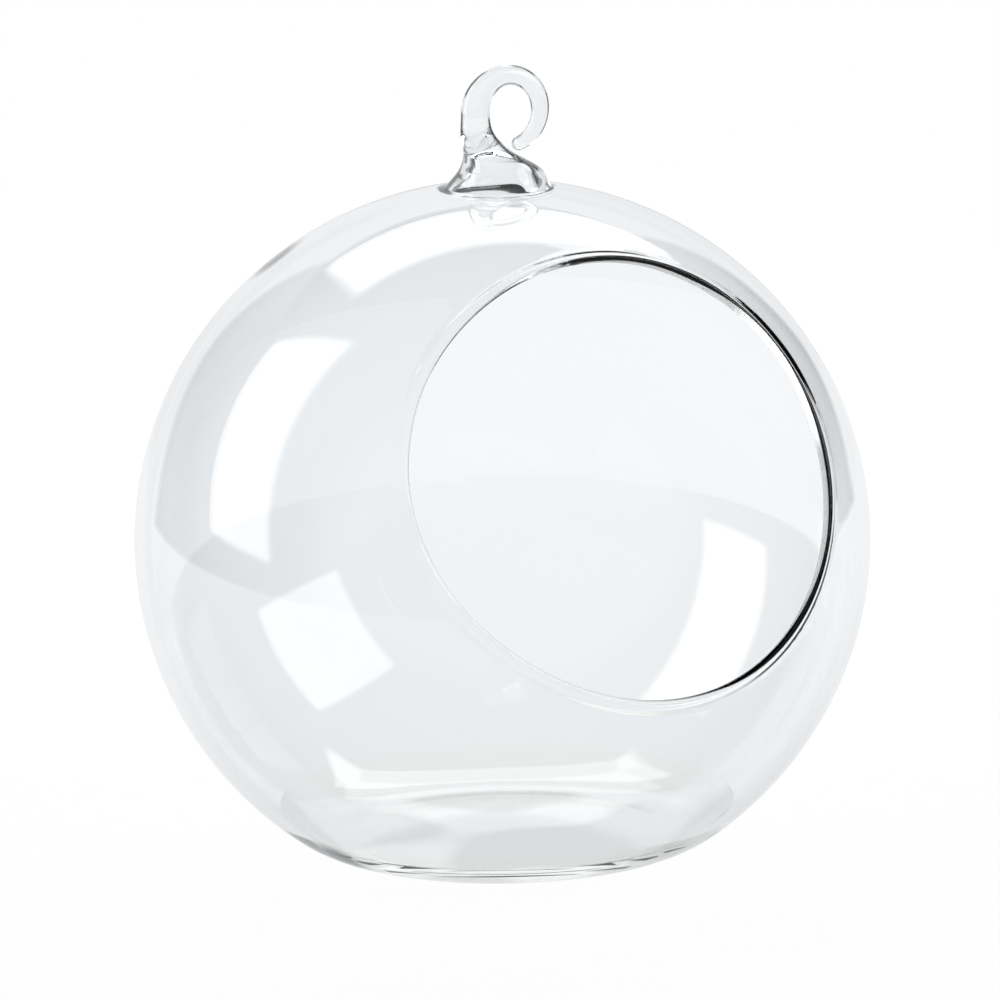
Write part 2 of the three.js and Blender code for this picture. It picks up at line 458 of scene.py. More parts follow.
def mix_colours(tree, share, first, second):
    """The first colour at a share of 0 and the second at 1."""
    made = node(tree, "ShaderNodeMix", _0=share, _6=first, _7=second)
    made.data_type = "RGBA"
    return made.outputs[2]


def new_tree(name):
    material = bpy.data.materials.new(name)
    material.use_nodes = True
    tree = material.node_tree
    tree.nodes.clear()
    return material, tree


def near_painted_streaks(tree, place, painted_streaks):
    """1 at each painted dark streak, a patch of painted shade in the glass's colour, and 0 beyond its reach.
    """
    near = 0.0
    for centre, reach in painted_streaks:
        away = from_vectors(tree, "DISTANCE", place, centre)
        near = calculate(tree, "MAXIMUM", near, ramp(tree, away, reach, reach * STREAK_CORE))
    return near


def painted_edge_shade(tree, place, tint, edge):
    """The glass's colour with painted shade: broken dark lines along its outline, painted where its thickness
    bends the light away to the dark sides of the room."""
    facing = node(tree, "ShaderNodeLayerWeight", Blend=0.5).outputs["Facing"]
    outside = calculate(tree, "SUBTRACT", 1.0, tree.nodes.new("ShaderNodeNewGeometry").outputs["Backfacing"])
    breaks = node(tree, "ShaderNodeTexNoise", Vector=place, Scale=1 / edge.breaks, Detail=1.0)
    where = calculate(tree, "MULTIPLY", ramp(tree, breaks.outputs["Fac"], BROKEN, UNBROKEN), edge.strength)
    # The painted shade is full at the painted dark streaks
    where = calculate(tree, "MAXIMUM", where, near_painted_streaks(tree, place, edge.painted_streaks))
    strength = calculate(tree, "MULTIPLY", ramp(tree, facing, edge.start, edge.full), where, outside)
    return mix_colours(tree, strength, (*tint, 1.0), PAINTED_SHADE_COLOUR)


def glass_material(name, tint, wave_size, wave_height, edge, cord_height=0.0):
    """Clear blown glass, with slow waves in its skin and, where it was drawn, fine cords along it."""
    look = bpy.context.scene.terrarium_look
    material, tree = new_tree(name)
    place = tree.nodes.new("ShaderNodeTexCoord").outputs["Object"]
    waves = node(tree, "ShaderNodeTexNoise", Vector=place, Scale=1 / wave_size, Detail=1.0,
                 Roughness=WAVE_ROUGHNESS)
    skin = node(tree, "ShaderNodeBump", Strength=1.0, Distance=wave_height, Height=waves.outputs["Fac"])
    if cord_height:
        stretched = node(tree, "ShaderNodeMapping", Vector=place, Scale=(1.0, 1.0, CORD_STRETCH))
        cords = node(tree, "ShaderNodeTexNoise", Vector=stretched.outputs["Vector"], Scale=CORDS, Detail=2.0)
        skin = node(tree, "ShaderNodeBump", Strength=1.0, Distance=cord_height,
                    Height=cords.outputs["Fac"], Normal=skin.outputs["Normal"])
    film = node(tree, "ShaderNodeTexNoise", Vector=place, Scale=FILM, Detail=3.0)
    polish = node(tree, "ShaderNodeMapRange", Value=film.outputs["Fac"], From_Min=FILM_STARTS,
                  From_Max=FILM_ENDS, To_Max=2 * look.polish)
    # The base colour carries the painted shade, dark lines along the piece's outline
    shader = node(tree, "ShaderNodeBsdfPrincipled", Base_Color=painted_edge_shade(tree, place, tint, edge),
                  IOR=look.index, Roughness=polish.outputs["Result"], Transmission_Weight=1.0,
                  Normal=skin.outputs["Normal"])
    node(tree, "ShaderNodeOutputMaterial", Surface=shader.outputs["BSDF"])
    material.diffuse_color = (*tint, VIEWPORT_ALPHA)
    return material


# Pieces

# Points that are nearer to each other than this, in metres, are one
SAME_POINT = 1e-6


class TERRARIUM_OT_globe_wall(bpy.types.Operator):
    """Blow the wall of the globe, open at the mouth, the crown and the foot"""

    bl_idname = "terrarium.globe_wall"
    bl_label = "Globe Wall"
    bl_options = {"REGISTER", "UNDO"}

    def execute(self, context):
        globe, hanger, detail, look = current_settings()
        level = foot_shape(globe)[2]
        crown = math.acos((hanger.base_radius + hanger.base_fillet) / globe.radius)
        outside = arc((0, 0), globe.radius, math.asin(level / globe.radius), crown, detail.rings)
        hollow = math.acos(hanger.hollow_mouth / inner_radius(globe))
        inside = arc((0, 0), inner_radius(globe), hollow, math.asin(level / inner_radius(globe)),
                     detail.rings)
        skin = Skin()
        skin.turned(outside, detail.segments)
        skin.turned(inside, detail.segments)
        mesh = skin.mesh("wall_glass")
        solid = bmesh.new()
        solid.from_mesh(mesh)
        axis = Vector(mouth_frame(globe)[0])
        bmesh.ops.bisect_plane(solid, geom=solid.verts[:] + solid.edges[:] + solid.faces[:],
                               plane_co=axis * cut_distance(globe), plane_no=axis, clear_outer=True)
        for vertex in solid.verts:
            along = vertex.co.dot(axis)
            if abs(along - cut_distance(globe)) < SAME_POINT:
                snap_to_cut(vertex, axis, globe)
        bmesh.ops.remove_doubles(solid, verts=solid.verts[:], dist=SAME_POINT)
        for vertex, place in zip(solid.verts, place_globe(globe, [v.co[:] for v in solid.verts])):
            vertex.co = place
        solid.to_mesh(mesh)
        solid.free()
        material = glass_material("wall_glass", look.tint, WALL_WAVES, look.ripple, WALL_PAINTED_SHADE)
        add_piece(mesh, "wall_glass", material, "globe_wall")
        return {"FINISHED"}


def snap_to_cut(vertex, axis, globe):
    """Puts a point of the cut edge exactly on the round glass, in the plane of the cut."""
    distance = cut_distance(globe)
    nearest = min((globe.radius, inner_radius(globe)), key=lambda r: abs(vertex.co.length - r))
    flat = vertex.co - axis * vertex.co.dot(axis)
    vertex.co = axis * distance + flat.normalized() * math.sqrt(nearest ** 2 - distance ** 2)


# The rings of the foot's flat, as shares of its radius
FLAT_RINGS = np.linspace(0.04, 0.96, 12)
# Rings of the globe for each step of the foot's corner, and the steps of the strip above that corner
RINGS_TO_A_STEP = 4
STRIP_STEPS = 3


class TERRARIUM_OT_globe_foot(bpy.types.Operator):
    """Press the foot, with its rounded corner and its thicker floor"""

    bl_idname = "terrarium.globe_foot"
    bl_label = "Globe Foot"
    bl_options = {"REGISTER", "UNDO"}

    def execute(self, context):
        globe, _, detail, look = current_settings()
        (outer_centre, outer_top), (inner_centre, inner_top), level = foot_shape(globe)
        level_down = -math.pi / 2
        steps = detail.rings // RINGS_TO_A_STEP
        outer_flat = -centre_height(globe) / squash(globe)
        inner_flat = (globe.foot_floor - centre_height(globe)) / squash(globe)
        inner = inner_radius(globe)
        corner = globe.foot_corner - globe.wall

        outside = np.concatenate([
            [(outer_centre[0] * share, outer_flat) for share in FLAT_RINGS],
            arc(outer_centre, globe.foot_corner, level_down, outer_top, steps),
            arc((0, 0), globe.radius, outer_top, math.asin(level / globe.radius), STRIP_STEPS)[1:],
        ])
        inside = np.concatenate([
            arc((0, 0), inner, math.asin(level / inner), inner_top, STRIP_STEPS),
            arc(inner_centre, corner, inner_top, level_down, steps)[1:],
            [(inner_centre[0] * share, inner_flat) for share in FLAT_RINGS[::-1]],
        ])

        def place(points):
            return place_globe(globe, points)

        skin = Skin()
        outer_rings = skin.turned(outside, detail.segments, place)
        inner_rings = skin.turned(inside, detail.segments, place)
        skin.cap(outer_rings[0], place([(0, 0, outer_flat)])[0], flip=True)
        skin.cap(inner_rings[-1], place([(0, 0, inner_flat)])[0])
        material = glass_material("foot_glass", look.foot_tint, FOOT_WAVES, look.ripple * FOOT_RIPPLE,
                                  FOOT_PAINTED_SHADE)
        skin.piece("foot_glass", material, "globe_foot")
        return {"FINISHED"}


# Where the bead is thicker or thinner: its turn and reach in degrees, and the change in millimetres
RIM_SWELLS = ((0.0, 18.0, 0.2), (58.0, 11.0, 0.3), (30.0, 10.0, -0.1), (165.0, 10.0, 0.25),
              (190.0, 8.0, 0.15), (105.0, 26.0, -0.12), (-60.0, 30.0, -0.12))

# How far along the wall the bead stops being round, as a share of its half thickness
BEAD_ROUND = 0.3

# Steps of each side of the bead's section, and how many more points run round the rim than round the globe
BEAD_STEPS = 10
RIM_EXTRA = 32


def bead_radius(globe, turn):
    """Half of the bead's thickness at turns round the mouth, where the fire has drawn glass together."""
    radius = np.full(len(turn), globe.bead / 2)
    for place, reach, swell in RIM_SWELLS:
        away = (np.degrees(turn) - place + 180) % 360 - 180
        radius += swell * MILLIMETRE / 2 * np.exp(-(away / reach) ** 2)
    return radius


def rim_section(globe, bead, steps):
    """The rim's section, from the outside of the wall round the bead to its inside, at each turn.

    Each point is a distance along the wall from the bead's middle and a distance out from mid-wall."""
    half_wall = globe.wall / 2
    start = BEAD_ROUND * bead
    swell = np.sqrt(bead ** 2 - start ** 2)
    slope = -start / swell
    span = globe.bead_blend - start
    side = []
    for share in np.linspace(1, 0, steps):
        h00 = 2 * share ** 3 - 3 * share ** 2 + 1
        h10 = share ** 3 - 2 * share ** 2 + share
        out = h00 * swell + (1 - h00) * half_wall + h10 * span * slope
        side.append((start + span * share, out))
    turn = math.acos(BEAD_ROUND)
    round_part = [(bead * math.cos(a), bead * math.sin(a))
                  for a in np.linspace(turn, 2 * math.pi - turn, 2 * steps + 1)]
    back = [(along, -out) for along, out in reversed(side)]
    return side[:-1] + round_part + back[1:]


class TERRARIUM_OT_mouth_rim(bpy.types.Operator):
    """Melt the rim of the mouth to a round bead and run it into the wall"""

    bl_idname = "terrarium.mouth_rim"
    bl_label = "Mouth Rim"
    bl_options = {"REGISTER", "UNDO"}

    def execute(self, context):
        globe, _, detail, look = current_settings()
        axis, across, upwards = mouth_frame(globe)
        middle = middle_radius(globe)
        turn = full_turn(detail.segments + RIM_EXTRA)
        around = np.cos(turn)[:, None] * across + np.sin(turn)[:, None] * upwards

        skin = Skin()
        rings = []
        for along, out in rim_section(globe, bead_radius(globe, turn), BEAD_STEPS):
            polar = (bead_angle(globe) + along / middle)[:, None]
            circle = (middle + out)[:, None] * (np.cos(polar) * axis + np.sin(polar) * around)
            rings.append(skin.ring(place_globe(globe, circle)))
        skin.join_all(rings)

        (outer_edge, outer_turns), (inner_edge, inner_turns) = wall_edges(globe)
        skin.bridge(skin.ring(outer_edge), outer_turns, rings[0], turn)
        skin.bridge(rings[-1], turn, skin.ring(inner_edge), inner_turns)
        material = glass_material("rim_glass", look.tint, RIM_WAVES, look.ripple, RIM_PAINTED_SHADE)
        skin.piece("rim_glass", material, "mouth_rim")
        return {"FINISHED"}


# The wall's open edges past this share of the way to the cut are those at the mouth
MOUTH_SIDE = 0.8


def wall_edges(globe):
    """The wall's outer and inner edges at the mouth: their points, and their turns about the mouth's axis."""
    wall = bpy.data.objects["wall_glass"].data
    axis, across, upwards = mouth_frame(globe)
    solid = bmesh.new()
    solid.from_mesh(wall)
    places = np.array([v.co[:] for v in solid.verts if v.is_boundary], float)
    solid.free()
    drawn = (places - [0, 0, centre_height(globe)]) / [1, 1, squash(globe)]
    near = drawn @ axis > cut_distance(globe) * MOUTH_SIDE
    places, drawn = places[near], drawn[near]
    distance = np.linalg.norm(drawn, axis=1)
    edges = []
    for outer in (True, False):
        chosen = (distance > middle_radius(globe)) == outer
        turns = np.arctan2(drawn[chosen] @ upwards, drawn[chosen] @ across) % (2 * math.pi)
        order = np.argsort(turns)
        edges.append((places[chosen][order], turns[order]))
    return edges


def seat_height(globe, hanger):
    rise = math.sqrt(globe.radius ** 2 - hanger.base_radius ** 2)
    return centre_height(globe) + rise * squash(globe)


class TERRARIUM_OT_hanger_boss(bpy.types.Operator):
    """Fuse the flared neck of the hanger on the crown, with its hollow underneath"""

    bl_idname = "terrarium.hanger_boss"
    bl_label = "Hanger Boss"
    bl_options = {"REGISTER", "UNDO"}

    def execute(self, context):
        globe, hanger, detail, look = current_settings()
        skin = Skin()
        turn = full_turn(detail.sides)
        seat = seat_height(globe, hanger)

        fillet = hanger.base_radius + hanger.base_fillet
        points, edge_turn = crown_edge(globe, globe.radius, fillet, detail.segments)
        edge = skin.ring(points)
        rings = [level_ring(skin, section, seat, turn) for section in neck_outside(globe, hanger)]
        skin.bridge(edge, edge_turn, rings[0], turn)
        skin.join_all(rings)

        points, edge_turn = crown_edge(globe, inner_radius(globe), hanger.hollow_mouth, detail.segments)
        edge = skin.ring(points)
        rings = [level_ring(skin, section, seat, turn) for section in neck_inside(globe, hanger)]
        side, _ = neck(hanger, hanger.hollow_height)
        skin.cap(rings[-1], (side, 0.0, seat + hanger.hollow_height), flip=True)
        rings.reverse()
        skin.join_all(rings)
        skin.bridge(rings[-1], turn, edge, edge_turn)
        material = glass_material("boss_glass", look.hanger_tint, NECK_WAVES, look.ripple, NECK_PAINTED_SHADE)
        skin.piece("boss_glass", material, "hanger_boss")
        return {"FINISHED"}


def neck(hanger, height):
    """The neck's side and radius at a height above its base, on a smooth curve through its named places."""
    heights = [0.0, hanger.shoulder_height, hanger.waist_height, hanger.stem_height, loop_centre(hanger)[1]]
    sides = [hanger.base_side, hanger.shoulder_side, hanger.waist_side, hanger.stem_side,
             hanger.loop_offset - hanger.loop_radius]
    radii = [hanger.base_radius, hanger.shoulder_radius, hanger.waist_radius, hanger.stem_radius,
             hanger.root_rod]
    return smooth_through(heights, sides, height), smooth_through(heights, radii, height)


def smooth_through(places, values, place):
    """A value between given ones, on a curve that runs level at its upper end."""
    slopes = np.gradient(values, places)
    slopes[-1] = 0.0
    i = int(np.clip(np.searchsorted(places, place) - 1, 0, len(places) - 2))
    span = places[i + 1] - places[i]
    share = (place - places[i]) / span
    rest = 1 - share
    return (values[i] * rest ** 2 * (1 + 2 * share) + values[i + 1] * share ** 2 * (1 + 2 * rest)
            + span * share * rest * (slopes[i] * rest - slopes[i + 1] * share))


def loop_centre(hanger):
    """Side and height of the loop's centre, above the neck's base."""
    return hanger.loop_offset, hanger.boss_height + hanger.tip_gap + hanger.tip_rod + hanger.loop_radius


def crown_edge(globe, round_radius, radius, segments):
    """The wall's edge round the crown, on its outside or its inside: its points and their turns."""
    turn = full_turn(segments)
    height = math.sqrt(round_radius ** 2 - radius ** 2)
    return place_globe(globe, level_circle(radius, height, turn)), turn


def level_ring(skin, section, seat, turn):
    """A level ring of the neck, from its side, its radius and its height above the neck's base."""
    side, radius, height = section
    return skin.ring(level_circle(radius, seat + height, turn, (side, 0.0)))


def crown_slope(globe, hanger, round_radius, radius):
    """Height above the neck's base and slope of the globe's skin, at a radius from its axis."""
    rise = math.sqrt(round_radius ** 2 - radius ** 2)
    base = math.sqrt(globe.radius ** 2 - hanger.base_radius ** 2)
    return squash(globe) * (rise - base), -squash(globe) * radius / rise


def bezier(points, steps):
    """Points along a cubic curve, without its two ends."""
    share = np.linspace(0, 1, steps + 1)[1:-1, None]
    a, b, c, d = (np.array(point, float) for point in points)
    return ((1 - share) ** 3 * a + 3 * (1 - share) ** 2 * share * b
            + 3 * (1 - share) * share ** 2 * c + share ** 3 * d)


# The fillet round the neck: its height as a share of its run, and how straight its lower and its upper
# end run on, as shares of the run and of the height
FILLET_HEIGHT = 0.35
FILLET_LOWER = 0.5
FILLET_UPPER = 0.6
# Steps of the fillet, of the neck above it, and of the hollow
FILLET_STEPS, NECK_STEPS, HOLLOW_STEPS = 12, 24, 44
# Above its height divided by this, the middle of the hollow is the middle of the neck
HOLLOW_FOLLOWS = 3


def neck_outside(globe, hanger):
    """Side, radius and height of each level ring up the outside of the neck, to where the rod starts.

    The first ones curve from the globe's skin into the neck."""
    radius = hanger.base_radius + hanger.base_fillet
    drop, slope = crown_slope(globe, hanger, globe.radius, radius)
    top = FILLET_HEIGHT * hanger.base_fillet
    side, outline = neck(hanger, top)
    lean = (outline - neck(hanger, 0.0)[1]) / top
    lower = FILLET_LOWER * (radius - outline)
    upper = FILLET_UPPER * top
    curve = bezier([(0.0, radius, drop), (0.0, radius - lower, drop - lower * slope),
                    (side, outline - upper * lean, top - upper), (side, outline, top)], FILLET_STEPS)
    sections = [tuple(point) for point in curve]
    for height in np.linspace(top, hanger.boss_height, NECK_STEPS):
        sections.append((*neck(hanger, height), height))
    return sections


def neck_inside(globe, hanger):
    """Side, radius and height of each level ring of the hollow under the neck, to just below its top."""
    mouth, bend, top = hanger.hollow_mouth, hanger.hollow_bend, hanger.hollow_height
    drop, slope = crown_slope(globe, hanger, inner_radius(globe), mouth)
    curve = bezier([(mouth, drop), (mouth - bend, drop - bend * slope),
                    (hanger.hollow_round, top), (0.0, top)], HOLLOW_STEPS)
    sections = []
    for radius, height in curve:
        risen = min((height - drop) / (top / HOLLOW_FOLLOWS - drop), 1.0)
        sections.append((neck(hanger, max(height, 0.0))[0] * risen, radius, height))
    return sections


# Share of the bend over which the rod thins from its root, and the power by which it tapers to its tip
ROD_THINS = 0.4
ROD_TAPER = 4
# Sections of the stem, of the bend and of the round tip
STEM_SECTIONS, BEND_SECTIONS, TIP_SECTIONS = 40, 110, 10


def rod_sections(globe, hanger):
    """Centre, radius and inward direction of each section of the rod, from its start to its tip."""
    seat = seat_height(globe, hanger)
    side, rise = loop_centre(hanger)
    middle = np.array([side, 0.0, seat + rise])
    sections = []
    for height in np.linspace(hanger.boss_height, rise, STEM_SECTIONS, endpoint=False):
        side, radius = neck(hanger, height)
        sections.append((np.array([side, 0.0, seat + height]), radius, np.array([1.0, 0.0, 0.0])))
    for share in np.linspace(0, 1, BEND_SECTIONS):
        turn = math.pi - hanger.loop_sweep * share
        inward = np.array([-math.cos(turn), 0.0, -math.sin(turn)])
        thinned = min(share / ROD_THINS, 1.0)
        thinned = thinned * thinned * (3 - 2 * thinned)
        radius = hanger.root_rod + (hanger.rod - hanger.root_rod) * thinned
        radius += (hanger.tip_rod - radius) * share ** ROD_TAPER
        sections.append((middle - inward * hanger.loop_radius, radius, inward))
    centre, radius, inward = sections[-1]
    forward = np.array([-inward[2], 0.0, inward[0]])
    for lift in np.linspace(0, math.pi / 2, TIP_SECTIONS)[1:]:
        sections.append((centre + forward * radius * math.sin(lift), radius * math.cos(lift), inward))
    return sections


class TERRARIUM_OT_hanger_loop(bpy.types.Operator):
    """Draw the rod out of the boss and bend it round to the open loop"""

    bl_idname = "terrarium.hanger_loop"
    bl_label = "Hanger Loop"
    bl_options = {"REGISTER", "UNDO"}

    def execute(self, context):
        globe, hanger, detail, look = current_settings()
        turn = full_turn(detail.sides)
        across = np.array([0.0, 1.0, 0.0])
        sections = rod_sections(globe, hanger)
        skin = Skin()
        rings = []
        for centre, radius, inward in sections[:-1]:
            circle = centre + radius * (np.cos(turn)[:, None] * inward + np.sin(turn)[:, None] * across)
            rings.append(skin.ring(circle))
        skin.join_all(rings)
        skin.cap(rings[-1], sections[-1][0])
        material = glass_material("loop_glass", look.hanger_tint, ROD_WAVES, look.ripple * ROD_RIPPLE,
                                  ROD_PAINTED_SHADE, CORD_HEIGHT)
        skin.piece("loop_glass", material, "hanger_loop")
        return {"FINISHED"}


class TERRARIUM_OT_fuse_seams(bpy.types.Operator):
    """Let the light run on over the seams, as in fused glass: the pieces share their normals there"""

    bl_idname = "terrarium.fuse_seams"
    bl_label = "Fuse the Seams"
    bl_options = {"REGISTER", "UNDO"}

    def execute(self, context):
        pieces = [bpy.data.objects[name] for name in
                  ("wall_glass", "foot_glass", "rim_glass", "boss_glass", "loop_glass")]
        shared = {}
        own = {}
        for piece in pieces:
            sums = corner_sums(piece.data)
            keys = [tuple(round(c / SAME_POINT) for c in v.co) for v in piece.data.vertices]
            own[piece.name] = keys
            for key, value in zip(keys, sums):
                shared[key] = shared.get(key, 0) + value
        for piece in pieces:
            normals = np.array([shared[key] for key in own[piece.name]])
            normals /= np.maximum(np.linalg.norm(normals, axis=1), NO_LENGTH)[:, None]
            piece.data.normals_split_custom_set_from_vertices(normals.tolist())
        return {"FINISHED"}


def corner_sums(mesh):
    """For each point, the sum of the normals of its faces, each weighed by the face's angle there."""
    sums = np.zeros((len(mesh.vertices), 3))
    places = np.array([v.co[:] for v in mesh.vertices])
    for face in mesh.polygons:
        corners = list(face.vertices)
        normal = np.array(face.normal)
        total = len(corners)
        for i, corner in enumerate(corners):
            before = places[corners[i - 1]] - places[corner]
            after = places[corners[(i + 1) % total]] - places[corner]
            size = np.linalg.norm(before) * np.linalg.norm(after)
            if size > 0:
                sums[corner] += normal * math.acos(max(-1.0, min(1.0, before @ after / size)))
    return sums


# Camera, lamps, table and surroundings

class StageSetup(bpy.types.PropertyGroup):
    """Where the camera stands, and the white table and light boxes round the globe"""

    azimuth: angle("Azimuth", "Where the camera stands round the globe, from the front to the right", -26.3)
    elevation: angle("Elevation", "How far the camera looks down", 12.0)
    roll: angle("Roll", "How far the picture is turned to the left", 1.0)
    distance: length("Distance", "From the camera to the globe's centre", 1500.0)
    lens: FloatProperty(name="Lens", description="Focal length of the camera", default=330.9, unit="CAMERA")
    aim_right: signed("Aim right", "How far right of the globe's centre the camera aims", -0.4)
    aim_up: length("Aim up", "How far above the globe's centre the camera aims", 6.46)
    table_radius: length("Table radius", "Radius of the white table", 420.0)
    table_front: length("Table front", "From the globe to the table's edge on the camera's side", 277.0)
    table_gap: length("Table gap", "Film of air between the foot and the table", 0.1)
    table_colour: colour("Table colour", "Colour of the table", (0.8, 0.8, 0.8))
    table_lift: number("Table lift", "How much of the table's white is sure, in any shadow", 0.95)
    table_shade: number("Table shade", "How much of the light and shadow on the table is seen", 0.11)
    cool_white: colour("Cool white", "Colour of the table and the backdrop as the glass shows them",
                       (0.91, 0.925, 0.94))
    # The table's near part glows darker than its far part as the glass mirrors it: painted shade, where less
    # light falls
    front_mirrored: number("Front mirrored", "Brightness of the table's near part, as mirrored", 0.7)
    back_mirrored: number("Back mirrored", "Brightness of its far part and the backdrop, as mirrored", 0.95)
    box_light: number("Light of the boxes", "Brightness of each light box, where 1 is white", 2.2)
    box_edge: number("Soft edge", "Share of a light box over which its light fades out at the edges", 0.06)
    ambient: number("Ambient light", "Brightness of the plain light from all round", 0.2)
    room: colour("Dark room", "Colour of the room between the light boxes", (0.012, 0.014, 0.018))
    camera_side: number("Camera side", "Brightness of the room behind the camera", 0.35)


# Each light box: its centre, and half of its side across and of its side up, as metres to the
# camera's right, metres away from the camera, and metres up
LIGHT_BOXES = {
    "left_box": ((-0.473, 0.062, 0.192), (0.113, -0.142, -0.010), (0.115, 0.082, 0.201)),
    "right_box": ((0.468, -0.036, 0.286), (-0.097, -0.185, -0.015), (-0.082, 0.024, 0.143)),
    "top_box": ((0.050, 0.353, 0.406), (-0.040, 0.153, 0.017), (-0.308, -0.117, -0.029)),
}

# Light runs on inside the thick foot and the rod, from side to side, before it leaves them
LIGHT_BOUNCES = 64

# Light that has met more surfaces than this comes from deep inside thick glass, and has this brightness
LONG_WAY = 8.5
LONG_WAY_LIGHT = 0.8

# How far behind the globe, seen from the camera, the near part of the table ends and the far part starts
TABLE_NEAR = -0.12
TABLE_FAR = 0.06
# The table's grain, to the metre, its least roughness, and the points round its edge
TABLE_GRAIN = 400.0
TABLE_ROUGHNESS = 0.8
TABLE_SIDES = 128

# Cosines from the camera's direction at which the room behind the camera starts to be lit and is all lit
CAMERA_SIDE_STARTS = -0.3
CAMERA_SIDE_FULL = -0.6

# The white backdrop behind the globe: its left and right ends and its top, as angles seen from the globe
BACKDROP_LEFT = math.radians(-27.5)
BACKDROP_RIGHT = math.radians(21)
BACKDROP_TOP = math.radians(33)
# Below its waist the backdrop grows wider, by this much at its foot, where it runs out over the table
LEFT_WAIST = math.radians(12)
RIGHT_WAIST = math.radians(3)
BACKDROP_FOOT = math.radians(-5)
BACKDROP_SPREAD = math.radians(12)
BACKDROP_EDGE = math.radians(0.8)
# The walls of the room next to it catch some of its light, which fades out over this range
WALL_LIGHT = 0.38
WALL_NEAR = math.radians(5)
WALL_FAR = math.radians(27)

# The width of the camera's film in millimetres, and how far the camera sees in metres
SENSOR_WIDTH = 36.0
CLIP_END = 20.0


def camera_axes(setup):
    """Right, up and back directions of the camera before its roll."""
    back = Vector((math.sin(setup.azimuth) * math.cos(setup.elevation),
                   -math.cos(setup.azimuth) * math.cos(setup.elevation),
                   math.sin(setup.elevation)))
    right = Vector((math.cos(setup.azimuth), math.sin(setup.azimuth), 0.0))
    return right, back.cross(right), back


def away_from_camera(setup):
    """The level direction in which the camera looks."""
    back = camera_axes(setup)[2]
    return Vector((-back.x, -back.y, 0)).normalized()


class TERRARIUM_OT_stage(bpy.types.Operator):
    """Set up the white table, the light boxes, the surroundings and the camera"""

    bl_idname = "terrarium.stage"
    bl_label = "Stage"
    bl_options = {"REGISTER", "UNDO"}

    def execute(self, context):
        scene = context.scene
        setup = scene.terrarium_stage
        globe = scene.terrarium_globe
        target = Vector((0, 0, centre_height(globe)))
        add_table(setup)
        add_light_boxes(setup, target)
        scene.world = studio_world(setup)
        scene.view_settings.view_transform = "Standard"
        scene.cycles.max_bounces = LIGHT_BOUNCES
        scene.cycles.glossy_bounces = LIGHT_BOUNCES
        scene.cycles.transmission_bounces = LIGHT_BOUNCES
        add_camera(scene, setup, target)
        return {"FINISHED"}


def through_or_mirrored(tree, path, through, mirrored):
    """One value for rays that only went through the glass, and another for those that it mirrored."""
    bounced = calculate(tree, "GREATER_THAN", path["Glossy Depth"], 0.5)
    made = node(tree, "ShaderNodeMix", _0=bounced, _2=through, _3=mirrored)
    return made.outputs[0]


def camera_or_glass(tree, path, setup):
    """Plain white for the camera, and a cooler white for what the glass shows."""
    return mix_colours(tree, path["Is Camera Ray"], (*setup.cool_white, 1.0), WHITE)


def add_table(setup):
    """A matt white table. What is seen of it is lifted to white, and keeps the globe's soft shadow."""
    away = away_from_camera(setup)
    material, tree = new_tree("white_table")
    grain = node(tree, "ShaderNodeTexNoise", Scale=TABLE_GRAIN, Detail=2.0)
    rough = node(tree, "ShaderNodeMapRange", Value=grain.outputs["Fac"], To_Min=TABLE_ROUGHNESS, To_Max=1.0)
    path = tree.nodes.new("ShaderNodeLightPath").outputs
    shiny = calculate(tree, "MAXIMUM", path["Is Glossy Ray"], path["Is Transmission Ray"])
    seen = calculate(tree, "MAXIMUM", path["Is Camera Ray"], shiny)
    shade = node(tree, "ShaderNodeMapRange", Value=seen, To_Min=1.0, To_Max=setup.table_shade)
    paint = node(tree, "ShaderNodeVectorMath", _0=setup.table_colour, _3=shade.outputs["Result"])
    paint.operation = "SCALE"
    matt = node(tree, "ShaderNodeBsdfDiffuse", Color=paint.outputs["Vector"],
                Roughness=rough.outputs["Result"])
    place = tree.nodes.new("ShaderNodeTexCoord").outputs["Object"]
    # Painted shade: as the glass mirrors it, the table's glow is darker on its near part than on its far part
    mirrored = node(tree, "ShaderNodeMapRange", Value=from_vectors(tree, "DOT_PRODUCT", place, away),
                    From_Min=TABLE_NEAR, From_Max=TABLE_FAR, To_Min=setup.front_mirrored,
                    To_Max=setup.back_mirrored)
    kept = through_or_mirrored(tree, path, 1.0, mirrored.outputs["Result"])
    strength = calculate(tree, "MULTIPLY", seen, kept, setup.table_lift)
    glow = node(tree, "ShaderNodeEmission", Color=camera_or_glass(tree, path, setup), Strength=strength)
    both = node(tree, "ShaderNodeAddShader", _0=matt.outputs[0], _1=glow.outputs[0])
    node(tree, "ShaderNodeOutputMaterial", Surface=both.outputs[0])

    skin = Skin()
    centre = away * (setup.table_radius - setup.table_front)
    edge = level_circle(setup.table_radius, -setup.table_gap, full_turn(TABLE_SIDES), centre)
    skin.cap(skin.ring(edge), (centre.x, centre.y, -setup.table_gap))
    mesh = skin.mesh("table")
    mesh.materials.append(material)
    table = bpy.data.objects.new("table", mesh)
    bpy.context.scene.collection.objects.link(table)


def placed(place, x_axis, y_axis, z_axis):
    """The matrix of something at a place, turned to three directions."""
    return Matrix.Translation(place) @ Matrix((x_axis, y_axis, z_axis)).transposed().to_4x4()


